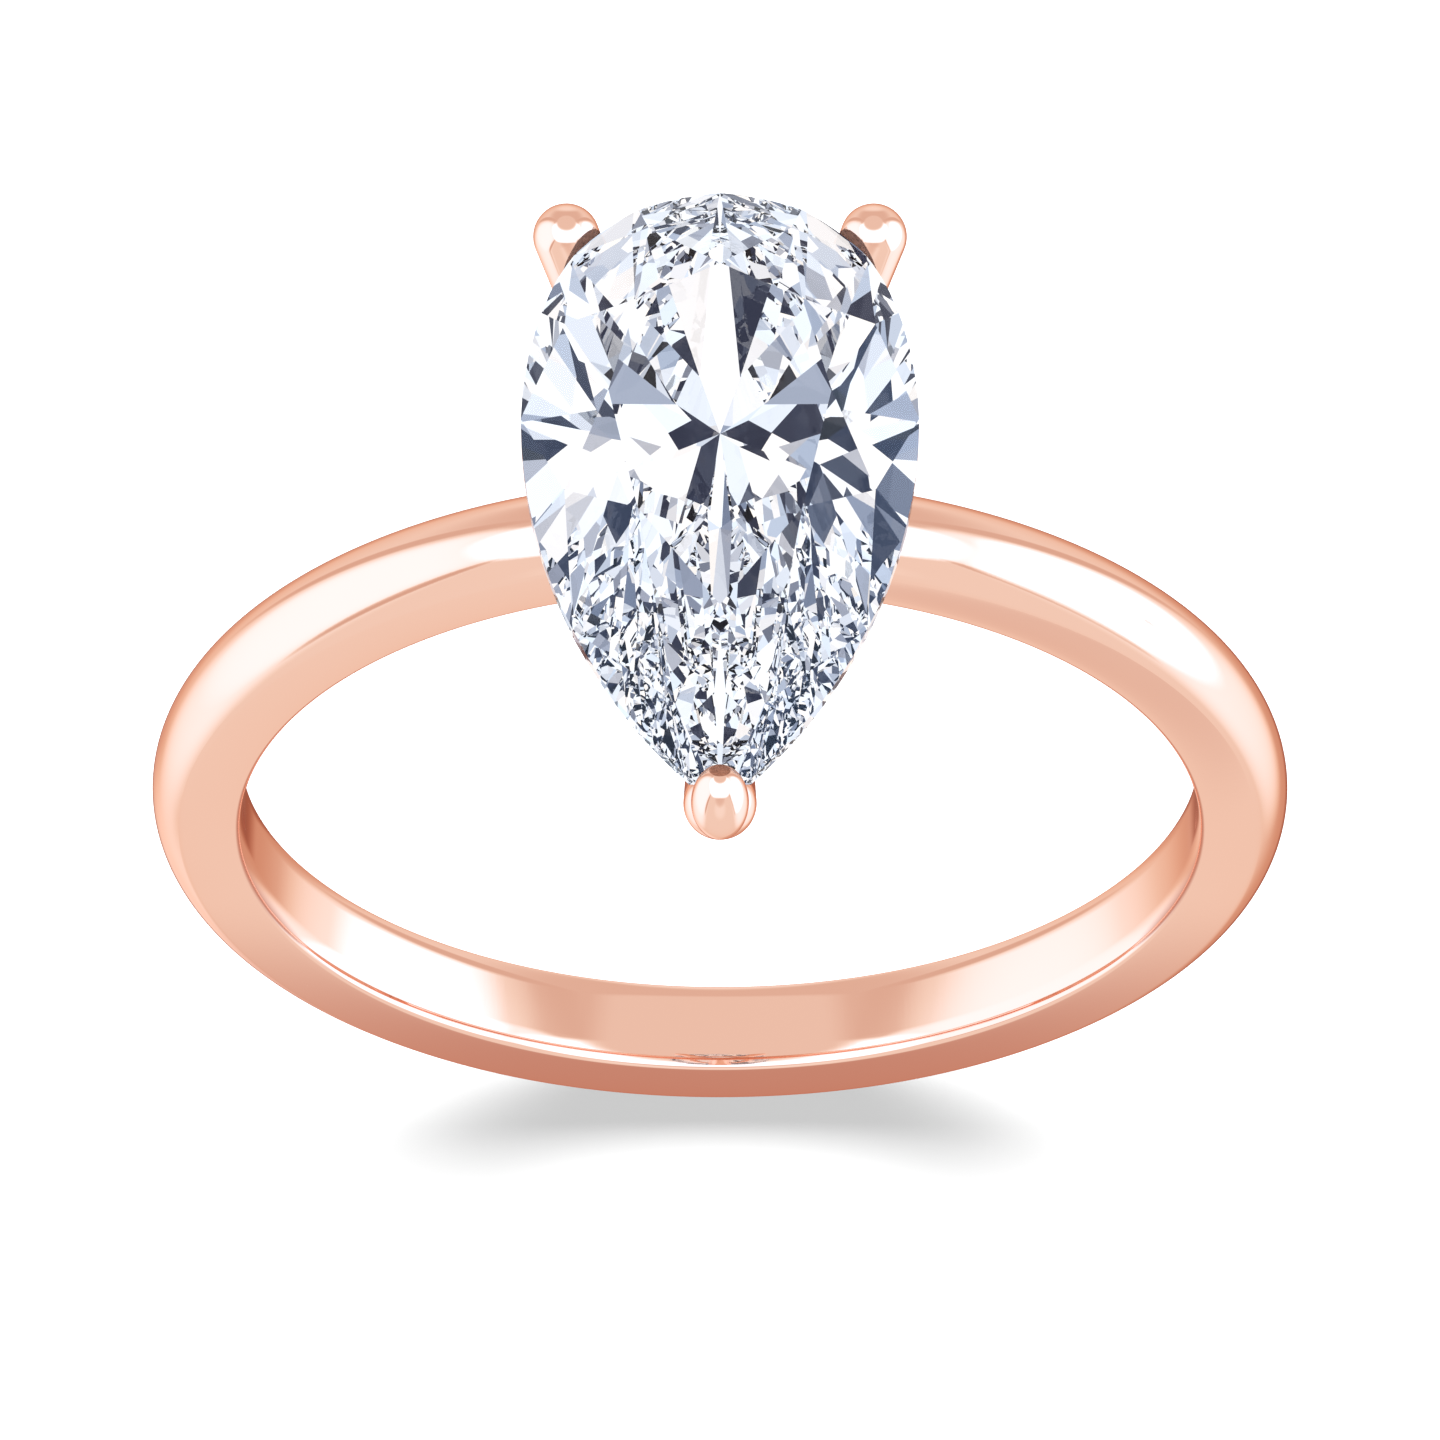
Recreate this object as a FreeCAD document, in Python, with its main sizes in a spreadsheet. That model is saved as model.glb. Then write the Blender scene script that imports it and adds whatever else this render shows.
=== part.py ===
import FreeCAD, Part
import math
import os
import Sketcher

# Engagement ring: a plain court-section shank carrying a three-claw peg head and a pear-cut stone.
# Frame: the origin is the centre of the finger hole, +Y runs along the hole away from the
# wearer's fingertip, +Z points through the stone and +X to the wearer's right. Millimetres.

os.makedirs("parts", exist_ok=True)
doc = FreeCAD.newDocument("engagement_ring")
Vector = FreeCAD.Vector

SIZES = [
    ("finger_diameter", "17.3", "inside diameter of the shank, US size 7"),
    ("band_width", "1.8", "width of the shank along the finger"),
    ("band_thickness", "1.65", "radial thickness of the shank at its crown"),
    ("crown_rise", "0.52", "height of the rounded crown above the flat sides"),
    ("bore_edge", "0.3", "radius that softens each edge of the finger hole"),
    ("stone_width", "7.16", "width of the stone at the girdle"),
    ("stone_length", "12.65", "length of the stone from round end to point"),
    ("head_share", "0.3715", "share of the length behind the widest line"),
    ("head_fullness", "0.922", "round-end radius as a share of the half width"),
    ("stone_setback", "0.36", "widest line of the stone in front of the shank's middle"),
    ("crown_height", "1.05", "girdle to table"),
    ("girdle_height", "0.3", "thickness of the girdle at the facet corners"),
    ("pavilion_depth", "3", "girdle to culet"),
    ("table_share", "0.56", "table as a share of the girdle outline"),
    ("star_share", "0.5", "how far down the crown the star facets reach"),
    ("lower_half_share", "0.78", "how far down the pavilion the lower halves reach"),
    ("flank_main_share", "0.5", "flank main facet, as a share of the turn to the point"),
    ("shoulder_main", "37", "direction of the shoulder main facet, degrees from the right"),
    ("girdle_facets", "16", "girdle facets in each quarter of the outline"),
    ("culet_gap", "0.15", "air between the culet and the head base"),
    ("base_rise", "0.3", "top of the head base above the crown of the shank"),
    ("base_length", "2.7", "head base, across the ring"),
    ("base_width", "1.7", "head base, along the finger"),
    ("base_clear", "0.3", "foot of the head base block above the finger hole, before coping"),
    ("peg_diameter", "1", "peg soldered into the drilled shank"),
    ("peg_bury", "0.2", "metal left above the peg inside the head base"),
    ("peg_spare", "0.5", "spare length of the peg, dressed off inside the finger hole"),
    ("claw_radius", "0.6", "dome of each side claw and top of its stem"),
    ("claw_turn", "41.5", "direction of the side claws, degrees from the ring's right"),
    ("claw_outset", "0.39", "dome centre outside the girdle"),
    ("claw_lift", "0.05", "dome centre above the middle of the girdle"),
    ("foot_radius", "0.5", "stem radius at the head base"),
    ("foot_drop", "0.5", "stem axis below the top of the head base"),
    ("foot_back", "0.1", "foot of each side stem behind the shank's middle"),
    ("tip_foot_drop", "0.62", "axis of the point claw's stem below the top of the head base"),
    ("tip_radius", "0.66", "stem radius and round end of the claw at the point"),
    ("tip_inset", "0.31", "round end of the point claw inside the stone's point"),
    ("tip_drop", "0.4", "round end of the point claw below the middle of the girdle"),
    ("bead_radius", "0.52", "half width of the bead folded over the point"),
    ("bead_reach", "0.74", "half length of that bead"),
    ("bead_lean", "26", "lean of the bead over the stone, degrees"),
    ("bead_lift", "0.16", "bead centre above the middle of the girdle"),
    ("bead_outset", "0.3", "bead centre in front of the round end's centre"),
    ("rail_wire", "0.6", "diameter of the gallery rail wire"),
    ("rail_share", "0.5", "gallery rail outline as a share of the girdle outline"),
    ("rail_lift", "0.85", "gallery rail above the culet"),
    ("rail_tip_radius", "0.7", "bend of the rail under the stone's point"),
    ("finger_radius", "=finger_diameter / 2", ""),
    ("band_radius", "=finger_radius + band_thickness", ""),
    ("side_radius", "=band_radius - crown_rise", ""),
    ("crown_radius", "=((band_width / 2)^2 + crown_rise^2) / (2 * crown_rise)", ""),
    ("base_top", "=band_radius + base_rise", ""),
    ("base_start", "=finger_radius + base_clear", ""),
    ("peg_top", "=base_top - peg_bury", ""),
    ("peg_start", "=finger_radius - peg_spare", ""),
    ("culet_level", "=base_top + culet_gap", ""),
    ("girdle_low", "=culet_level + pavilion_depth", ""),
    ("girdle_high", "=girdle_low + girdle_height", ""),
    ("girdle_level", "=girdle_low + girdle_height / 2", ""),
    ("half_width", "=stone_width / 2", ""),
    ("head_length", "=head_share * stone_length", ""),
    ("point_length", "=stone_length - head_length", ""),
    ("head_radius", "=head_fullness * half_width", ""),
    ("head_rise", "=head_length - head_radius", ""),
    ("shoulder_radius", "=(half_width^2 + head_rise^2 - head_radius^2)"
                        " / (2 * (half_width - head_radius))", ""),
    ("flank_radius", "=(half_width^2 + point_length^2) / (2 * half_width)", ""),
    ("claw_side", "=(head_radius + claw_outset) * cos(claw_turn)", ""),
    ("claw_back", "=(head_radius + claw_outset) * sin(claw_turn) + head_rise - stone_setback", ""),
    ("claw_level", "=girdle_level + claw_lift", ""),
    ("foot_side", "=base_length / 2 - foot_radius", ""),
    ("foot_level", "=base_top - foot_drop", ""),
    ("stem_side", "=claw_side - foot_side", ""),
    ("stem_back", "=claw_back - foot_back", ""),
    ("stem_rise", "=claw_level - foot_level", ""),
    ("stem_length", "=sqrt(stem_side^2 + stem_back^2 + stem_rise^2)", ""),
    ("stem_lean", "=acos(stem_rise / stem_length)", ""),
    ("tip_front", "=stone_setback + point_length - tip_inset", ""),
    ("tip_level", "=girdle_level - tip_drop", ""),
    ("tip_foot_level", "=base_top - tip_foot_drop", ""),
    ("tip_rise", "=tip_level - tip_foot_level", ""),
    ("tip_bend", "=(tip_front^2 + tip_rise^2) / (2 * tip_rise)", ""),
    ("tip_slope", "=asin(tip_front / tip_bend)", ""),
    ("bead_front", "=tip_front + bead_outset", ""),
    ("bead_level", "=girdle_level + bead_lift", ""),
    ("rail_level", "=culet_level + rail_lift", ""),
]


def make_sheet():
    """Spreadsheet with every driving size and the sizes worked out from them."""
    sheet = doc.addObject("Spreadsheet::Sheet", "sizes")
    for row, (alias, value, note) in enumerate(SIZES, start=1):
        sheet.set("A%d" % row, alias)
        sheet.set("B%d" % row, value)
        sheet.set("C%d" % row, note)
        sheet.setAlias("B%d" % row, alias)
    doc.recompute()
    return sheet


SHEET = make_sheet()


def size(alias):
    """Present value of one size in the sheet."""
    value = getattr(SHEET, alias)
    return float(getattr(value, "Value", value))


def bind(thing, **expressions):
    """Tie properties of an object to the sheet; two underscores stand for a dot."""
    for name, expression in expressions.items():
        thing.setExpression(name.replace("__", "."), expression)
    return thing


def new_sketch(body, name, role):
    """Sketch lying on one of the body's own origin planes."""
    sketch = body.newObject("Sketcher::SketchObject", name)
    plane = [each for each in body.Origin.OriginFeatures if each.Role == role][0]
    sketch.AttachmentSupport = [(plane, "")]
    sketch.MapMode = "FlatFace"
    return sketch


def measure(sketch, kind, expression, start, *rest):
    """Dimension in a sketch, set to its present size and tied to the sheet."""
    index = sketch.addConstraint(Sketcher.Constraint(kind, *rest, start))
    sketch.setExpression("Constraints[%d]" % index, expression)
    return index


def arc(x, y, radius, first, last):
    """Circular arc in a sketch plane; the angles are in radians."""
    circle = Part.Circle(Vector(x, y, 0), Vector(0, 0, 1), radius)
    return Part.ArcOfCircle(circle, first, last)


def line(x1, y1, x2, y2):
    return Part.LineSegment(Vector(x1, y1, 0), Vector(x2, y2, 0))


def link(sketch, kind, *where):
    sketch.addConstraint(Sketcher.Constraint(kind, *where))


def fused(name, members):
    union = doc.addObject("Part::MultiFuse", name)
    union.Shapes = members
    return union


def trimmed(label, blank, tool):
    """Finished sub-part: a blank with the metal or stone next to it taken away."""
    part = doc.addObject("Part::Cut", label)
    part.Base = blank
    part.Tool = tool
    part.Label = label
    return part


def band_blank():
    """Shank before the peg hole is drilled: flat bore, flat sides, rounded crown."""
    body = doc.addObject("PartDesign::Body", "band_blank")
    sketch = new_sketch(body, "band_section", "YZ_Plane")
    half, edge = size("band_width") / 2, size("bore_edge")
    bore, side = size("finger_radius"), size("side_radius")
    crown, rise = size("crown_radius"), size("crown_rise")
    centre = side + rise - crown
    lean = math.asin(half / crown)
    quarter = math.pi / 2
    sketch.addGeometry([
        line(-half + edge, bore, half - edge, bore),
        arc(half - edge, bore + edge, edge, -quarter, 0),
        line(half, bore + edge, half, side),
        arc(0, centre, crown, quarter - lean, quarter + lean),
        line(-half, side, -half, bore + edge),
        arc(-half + edge, bore + edge, edge, 2 * quarter, 3 * quarter),
    ])
    link(sketch, "Tangent", 0, 2, 1, 1)
    link(sketch, "Tangent", 1, 2, 2, 1)
    link(sketch, "Coincident", 2, 2, 3, 1)
    link(sketch, "Coincident", 3, 2, 4, 1)
    link(sketch, "Tangent", 4, 2, 5, 1)
    link(sketch, "Tangent", 5, 2, 0, 1)
    link(sketch, "Horizontal", 0)
    link(sketch, "Vertical", 2)
    link(sketch, "Vertical", 4)
    link(sketch, "Symmetric", 3, 2, 3, 1, -2)
    link(sketch, "PointOnObject", 3, 3, -2)
    link(sketch, "Equal", 1, 5)
    measure(sketch, "Radius", "sizes.bore_edge", edge, 1)
    measure(sketch, "Radius", "sizes.crown_radius", crown, 3)
    measure(sketch, "DistanceY", "sizes.finger_radius", bore, -1, 1, 0, 1)
    measure(sketch, "DistanceY", "sizes.side_radius", side, -1, 1, 2, 2)
    measure(sketch, "DistanceX", "sizes.band_width", 2 * half, 3, 2, 3, 1)
    turn = body.newObject("PartDesign::Revolution", "band_turn")
    turn.Profile = sketch
    turn.ReferenceAxis = (sketch, ["H_Axis"])
    turn.Angle = 360
    return body


def peg_blank():
    """Round peg before its inner end is dressed to the finger hole."""
    peg = doc.addObject("Part::Cylinder", "peg_blank")
    return bind(peg, Radius="sizes.peg_diameter / 2",
                Height="sizes.peg_top - sizes.peg_start",
                Placement__Base__z="sizes.peg_start")


def finger_space():
    """The round space kept clear for the finger."""
    space = doc.addObject("Part::Cylinder", "finger_space")
    space.Placement = FreeCAD.Placement(Vector(0, 0, 0), FreeCAD.Rotation(Vector(1, 0, 0), -90))
    return bind(space, Radius="sizes.finger_radius", Height="3 * sizes.band_width",
                Placement__Base__y="-1.5 * sizes.band_width")


def base_blank():
    """Round-ended block that joins the claws to the shank."""
    body = doc.addObject("PartDesign::Body", "base_blank")
    sketch = new_sketch(body, "base_outline", "XY_Plane")
    bind(sketch, AttachmentOffset__Base__z="sizes.base_start")
    end = size("base_width") / 2
    reach = size("base_length") / 2 - end
    quarter = math.pi / 2
    sketch.addGeometry([
        line(-reach, -end, reach, -end),
        arc(reach, 0, end, -quarter, quarter),
        line(reach, end, -reach, end),
        arc(-reach, 0, end, quarter, 3 * quarter),
    ])
    for first, second in ((0, 1), (1, 2), (2, 3), (3, 0)):
        link(sketch, "Tangent", first, 2, second, 1)
    link(sketch, "Horizontal", 0)
    link(sketch, "Symmetric", 1, 3, 3, 3, -1, 1)
    measure(sketch, "Radius", "sizes.base_width / 2", end, 1)
    measure(sketch, "DistanceX", "sizes.base_length - sizes.base_width", 2 * reach, 3, 3, 1, 3)
    pad = body.newObject("PartDesign::Pad", "base_block")
    pad.Profile = sketch
    bind(pad, Length="sizes.base_top - sizes.base_start")
    return body


def side_claw(name, sign):
    """Straight tapered stem with a domed top, on the right (+1) or left (-1)."""
    stem = doc.addObject("Part::Cone", name + "_stem")
    bind(stem, Radius1="sizes.foot_radius", Radius2="sizes.claw_radius",
         Height="sizes.stem_length",
         Placement__Base__x="%d * sizes.foot_side" % sign,
         Placement__Base__y="sizes.foot_back",
         Placement__Base__z="sizes.foot_level",
         Placement__Rotation__Axis__x="-sizes.stem_back",
         Placement__Rotation__Axis__y="%d * sizes.stem_side" % sign,
         Placement__Rotation__Axis__z="0",
         Placement__Rotation__Angle="sizes.stem_lean")
    dome = doc.addObject("Part::Sphere", name + "_dome")
    bind(dome, Radius="sizes.claw_radius",
         Placement__Base__x="%d * sizes.claw_side" % sign,
         Placement__Base__y="sizes.claw_back",
         Placement__Base__z="sizes.claw_level")
    return fused(name + "_blank", [stem, dome])


def tip_stem():
    """Curved stem that runs forward under the stone and thickens to its point."""
    body = doc.addObject("PartDesign::Body", "tip_stem")
    path = new_sketch(body, "tip_path", "YZ_Plane")
    bend, level = size("tip_bend"), size("tip_foot_level")
    slope = math.radians(size("tip_slope"))
    path.addGeometry(arc(0, level + bend, bend, -math.pi / 2 - slope, -math.pi / 2))
    link(path, "PointOnObject", 0, 2, -2)
    link(path, "PointOnObject", 0, 3, -2)
    measure(path, "DistanceY", "sizes.tip_foot_level", level, -1, 1, 0, 2)
    measure(path, "DistanceX", "sizes.tip_front", size("tip_front"), 0, 1, -1, 1)
    measure(path, "Radius", "sizes.tip_bend", bend, 0)
    foot = new_sketch(body, "tip_foot", "XZ_Plane")
    bind(foot, AttachmentOffset__Base__y="sizes.tip_foot_level")
    end = new_sketch(body, "tip_end", "XZ_Plane")
    end.AttachmentOffset = FreeCAD.Placement(
        Vector(0, 0, 0), FreeCAD.Rotation(Vector(1, 0, 0), -1))
    bind(end, AttachmentOffset__Base__y="sizes.tip_level",
         AttachmentOffset__Base__z="sizes.tip_front",
         AttachmentOffset__Rotation__Angle="-sizes.tip_slope")
    for ring, alias in ((foot, "foot_radius"), (end, "tip_radius")):
        ring.addGeometry(Part.Circle(Vector(0, 0, 0), Vector(0, 0, 1), size(alias)))
        link(ring, "Coincident", 0, 3, -1, 1)
        measure(ring, "Radius", "sizes." + alias, size(alias), 0)
    doc.recompute()
    pipe = body.newObject("PartDesign::AdditivePipe", "tip_sweep")
    pipe.Profile = foot
    pipe.Spine = (path, ["Edge1"])
    pipe.Sections = [end]
    pipe.Transformation = "Multisection"
    return body


def tip_claw():
    """Claw at the stone's point: curved stem, round end and a bead folded over."""
    end = doc.addObject("Part::Sphere", "tip_round_end")
    bind(end, Radius="sizes.tip_radius", Placement__Base__y="-sizes.tip_front",
         Placement__Base__z="sizes.tip_level")
    bead = doc.addObject("Part::Ellipsoid", "tip_bead")
    bead.Angle1 = -90
    bead.Angle2 = 90
    bead.Placement = FreeCAD.Placement(Vector(0, 0, 0), FreeCAD.Rotation(Vector(1, 0, 0), -1))
    bind(bead, Radius1="sizes.bead_reach", Radius2="sizes.bead_radius",
         Radius3="sizes.bead_radius", Placement__Base__y="-sizes.bead_front",
         Placement__Base__z="sizes.bead_level", Placement__Rotation__Angle="-sizes.bead_lean")
    return fused("tip_blank", [tip_stem(), end, bead])


def gallery_rail_blank():
    """Round wire bent to a small pear outline under the stone."""
    body = doc.addObject("PartDesign::Body", "rail_blank")
    path = new_sketch(body, "rail_path", "XY_Plane")
    bind(path, AttachmentOffset__Base__z="sizes.rail_level")
    share, back = size("rail_share"), -size("stone_setback")
    half, tip = share * size("half_width"), size("rail_tip_radius")
    head, rise = share * size("head_radius"), share * size("head_rise")
    shoulder, flank = share * size("shoulder_radius"), share * size("flank_radius")
    turn = math.atan2(rise, shoulder - half)
    drop = math.sqrt((flank - tip) ** 2 - (flank - half) ** 2)
    fold = math.atan2(drop, flank - half)
    path.addGeometry([
        arc(0, back + rise, head, turn, math.pi - turn),
        arc(shoulder - half, back, shoulder, math.pi - turn, math.pi),
        arc(flank - half, back, flank, math.pi, math.pi + fold),
        arc(0, back - drop, tip, math.pi + fold, 2 * math.pi - fold),
        arc(half - flank, back, flank, -fold, 0),
        arc(half - shoulder, back, shoulder, 0, turn),
    ])
    for first in (0, 1, 2, 3, 5):
        link(path, "Tangent", first, 2, (first + 1) % 6, 1)
    link(path, "Coincident", 4, 2, 5, 1)
    for left, right in ((1, 5), (2, 4)):
        link(path, "Symmetric", left, 3, right, 3, -2)
    link(path, "Equal", 1, 5)
    link(path, "Horizontal", 1, 2, 1, 3)
    measure(path, "DistanceY", "sizes.stone_setback", -back, 1, 2, -1, 1)
    measure(path, "DistanceX", "sizes.rail_share * sizes.half_width", half, 1, 2, -1, 1)
    measure(path, "Radius", "sizes.rail_share * sizes.head_radius", head, 0)
    measure(path, "Radius", "sizes.rail_share * sizes.shoulder_radius", shoulder, 1)
    measure(path, "Radius", "sizes.rail_share * sizes.flank_radius", flank, 2)
    measure(path, "Radius", "sizes.rail_tip_radius", tip, 3)
    wire = new_sketch(body, "rail_wire", "XZ_Plane")
    radius = size("rail_wire") / 2
    wire.addGeometry(Part.Circle(Vector(-half, size("rail_level"), 0), Vector(0, 0, 1), radius))
    bind(wire, AttachmentOffset__Base__z="sizes.stone_setback")
    measure(wire, "DistanceX", "sizes.rail_share * sizes.half_width", half, 0, 3, -1, 1)
    measure(wire, "DistanceY", "sizes.rail_level", size("rail_level"), -1, 1, 0, 3)
    measure(wire, "Radius", "sizes.rail_wire / 2", radius, 0)
    doc.recompute()
    pipe = body.newObject("PartDesign::AdditivePipe", "rail_sweep")
    pipe.Profile = wire
    pipe.Spine = (path, ["Edge%d" % number for number in range(1, 7)])
    return body


def outline_point(normal, share=1.0):
    """Point of the girdle outline whose outward normal has this angle, right-hand half."""
    half, back = size("half_width"), -size("stone_setback")
    shoulder, flank = size("shoulder_radius"), size("flank_radius")
    turn = math.atan2(size("head_rise"), shoulder - half)
    x, y, radius = 0.0, size("head_rise"), size("head_radius")
    if normal < turn:
        x, y, radius = half - shoulder, 0.0, shoulder
    if normal < 0:
        x, y, radius = half - flank, 0.0, flank
    return (share * (x + radius * math.cos(normal)),
            back + share * (y + radius * math.sin(normal)))


def cut_by(solid, point, normal):
    """Solid with everything on the normal's side of a plane taken away."""
    block = Part.makeBox(60, 60, 60, Vector(-30, -30, 0))
    block.Placement = FreeCAD.Placement(point, FreeCAD.Rotation(Vector(0, 0, 1), normal))
    return solid.cut(block)


def facet(solid, a, b, c, middle):
    """Solid ground down to the plane through three points; the middle stays."""
    normal = (b - a).cross(c - a)
    if normal.dot(middle - a) > 0:
        normal = normal * -1
    return cut_by(solid, a, normal)


def meet(planes, level):
    """Where two facet planes, each a point and a normal, cross at a given height."""
    (p, n), (q, m) = planes
    right_p = n.dot(p) - n.z * level
    right_q = m.dot(q) - m.z * level
    scale = n.x * m.y - n.y * m.x
    return Vector((right_p * m.y - right_q * n.y) / scale,
                  (n.x * right_q - m.x * right_p) / scale, level)


def main_normals():
    """Outline normals of the main facets, from the point round the right side to the head."""
    point = -math.asin(size("point_length") / size("flank_radius"))
    flank, shoulder = point * size("flank_main_share"), math.radians(size("shoulder_main"))
    return [point, flank, 0.0, shoulder, math.pi / 2]


def grind(solid, low, apex_level, reach, share, stars):
    """Main, star and half facets of the crown (stars) or the pavilion."""
    mains = main_normals()
    halves = [(a + b) / 2 for a, b in zip(mains, mains[1:])]
    middle = Vector(0, -size("stone_setback"), size("girdle_level"))
    for mirror in (1, -1):
        def at(normal, level, amount=1.0):
            x, y = outline_point(normal, amount)
            return Vector(mirror * x, y, level)
        planes = []
        for index, normal in enumerate(mains):
            base, top = at(normal, low), at(normal, apex_level, share)
            along = Vector(-mirror * math.sin(normal), math.cos(normal), 0)
            if index in (0, len(mains) - 1):
                along = Vector(1, 0, 0)
            face = along.cross(top - base)
            face = face * (-1 if face.dot(middle - base) > 0 else 1)
            planes.append((base, face))
            if mirror == 1 or 0 < index < len(mains) - 1:
                solid = cut_by(solid, base, face)
        for index, normal in enumerate(halves):
            level = low + reach * (apex_level - low)
            ridge = meet(planes[index:index + 2], level)
            centre = at(normal, low)
            for side in (index, index + 1):
                solid = facet(solid, at(mains[side], low), centre, ridge, middle)
            if stars:
                first = at(mains[index], apex_level, share)
                second = at(mains[index + 1], apex_level, share)
                solid = facet(solid, first, second, ridge, middle)
    return solid


def girdle_outline(level):
    """Closed girdle polygon with flat facets, set out from the point."""
    point, side, head = main_normals()[0], 0.0, math.pi / 2
    count = round(size("girdle_facets"))
    flank = [point + (side - point) * step / count for step in range(count)]
    round_end = [side + (head - side) * step / count for step in range(count + 1)]
    right = [outline_point(normal) for normal in flank + round_end]
    left = [(-x, y) for x, y in reversed(right[1:-1])]
    return Part.makePolygon([Vector(x, y, level) for x, y in right + left + right[:1]])


def pear_stone():
    """Pear brilliant, ground facet by facet from a pear-shaped block."""
    low, high = size("girdle_low"), size("girdle_high")
    table, culet = high + size("crown_height"), size("culet_level")
    block = Part.Face(girdle_outline(culet)).extrude(Vector(0, 0, table - culet))
    block = grind(block, high, table, size("star_share"), size("table_share"), True)
    block = grind(block, low, culet, size("lower_half_share"), 0.0, False)
    stone = doc.addObject("Part::Feature", "stone")
    stone.Shape = block
    stone.Placement = FreeCAD.Placement()
    stone.Label = "stone"
    return stone


def build():
    band = band_blank()
    peg = peg_blank()
    block = base_blank()
    stone = pear_stone()
    rail = gallery_rail_blank()
    rail.Label = "gallery_rail"
    left, right = side_claw("left_claw", -1), side_claw("right_claw", 1)
    tip = tip_claw()
    seat = fused("claw_seat", [band, block, stone, rail])
    return [
        trimmed("shank", band, peg),
        trimmed("head_peg", peg, finger_space()),
        trimmed("head_base", block, fused("base_seat", [band, peg])),
        rail,
        trimmed("prong_left", left, seat),
        trimmed("prong_right", right, seat),
        trimmed("prong_tip", tip, seat),
        stone,
    ]


PARTS = build()
doc.recompute()

for item in doc.Objects:
    if "Invalid" in item.State or "Error" in item.State:
        raise RuntimeError("%s did not rebuild: %s" % (item.Name, item.State))

for part in PARTS:
    shape = part.Shape
    if shape.isNull() or not shape.isValid() or len(shape.Solids) != 1:
        raise RuntimeError("%s is not one sound solid" % part.Label)
    shape.exportStep("parts/%s.step" % part.Label)
    print("%-14s %9.4f mm3" % (part.Label, shape.Volume))
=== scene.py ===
import math

import bmesh
import bpy
from bpy.props import FloatProperty, FloatVectorProperty, IntProperty, PointerProperty
from mathutils import Matrix, Vector


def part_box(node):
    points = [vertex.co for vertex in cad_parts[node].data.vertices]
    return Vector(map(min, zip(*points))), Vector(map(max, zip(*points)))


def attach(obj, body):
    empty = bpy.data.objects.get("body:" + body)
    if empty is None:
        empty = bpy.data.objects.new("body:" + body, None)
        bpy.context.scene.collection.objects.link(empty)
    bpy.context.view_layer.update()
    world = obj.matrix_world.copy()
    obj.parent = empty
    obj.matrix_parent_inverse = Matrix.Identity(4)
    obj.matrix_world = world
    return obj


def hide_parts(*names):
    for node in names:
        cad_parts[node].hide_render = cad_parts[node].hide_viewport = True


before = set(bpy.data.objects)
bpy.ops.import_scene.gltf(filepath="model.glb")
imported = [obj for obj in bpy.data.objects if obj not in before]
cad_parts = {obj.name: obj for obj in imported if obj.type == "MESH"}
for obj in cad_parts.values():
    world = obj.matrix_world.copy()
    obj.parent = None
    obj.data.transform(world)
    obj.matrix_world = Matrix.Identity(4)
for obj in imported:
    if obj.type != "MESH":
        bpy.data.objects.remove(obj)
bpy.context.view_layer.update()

bl_info = {
    "name": "Pear Solitaire Ring",
    "version": (1, 0, 0),
    "blender": (4, 5, 0),
    "location": "View3D > Sidebar > Ring",
    "description": "Rose gold engagement ring with a pear-cut stone in a three-claw peg head",
    "category": "Add Mesh",
}

MM = 0.001
BODY = "root"
QUARTER = math.pi / 2
# The seat's material is dark with painted shade, where a claw meets the stone.
SEAT_SLOT = 1  # a claw's second material, on the cut seat


def cad_mm(node):
    """Lowest and highest corner of a node of the frame, in millimetres."""
    low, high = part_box(node)
    return low / MM, high / MM


SHANK_LOW, SHANK_HIGH = cad_mm("shank")
PEG_HIGH = cad_mm("head_peg")[1]
BASE_HIGH = cad_mm("head_base")[1]
RAIL_LOW, RAIL_HIGH = cad_mm("gallery_rail")
STONE_LOW, STONE_HIGH = cad_mm("stone")
FLOOR_LEVEL = SHANK_LOW.z
DRILL_START = 7.0  # inside the finger hole, clear of the shank's wall
BASE_START = SHANK_HIGH.z - 1.3  # foot of the base block before it is fitted
CAP_START = SHANK_HIGH.z - 2  # top part of the shank that the claws are fitted to


# ---------------------------------------------------------------- sizes and finishes

class ShankSizes(bpy.types.PropertyGroup):
    """Sizes of the shank, in millimetres"""
    finger_radius: FloatProperty(
        name="Finger radius", description="Radius of the finger hole", default=8.65)
    width: FloatProperty(
        name="Width", description="Width along the finger", default=SHANK_HIGH.y - SHANK_LOW.y)
    crown_radius: FloatProperty(
        name="Crown radius", description="Distance from the middle of the hole to the crown",
        default=SHANK_HIGH.x)
    crown_rise: FloatProperty(
        name="Crown rise", description="Height of the crown above the flat sides", default=0.52)
    edge: FloatProperty(
        name="Hole edge", description="Radius that softens the edges of the hole", default=0.12)
    roll: FloatProperty(
        name="Roll", description="Lean of the comfort-fit hole beside its edges, degrees",
        default=20.0)
    roll_radius: FloatProperty(
        name="Roll radius", description="Radius of the comfort-fit roll", default=1.0)
    side_bow: FloatProperty(
        name="Side bow", description="Lean of the polished sides at their rims, degrees",
        default=5.0)
    shoulder: FloatProperty(
        name="Shoulder", description="Softening where the crown meets the side", default=0.13)
    steps: IntProperty(
        name="Steps", description="Divisions round the finger", default=384, min=48)


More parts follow.
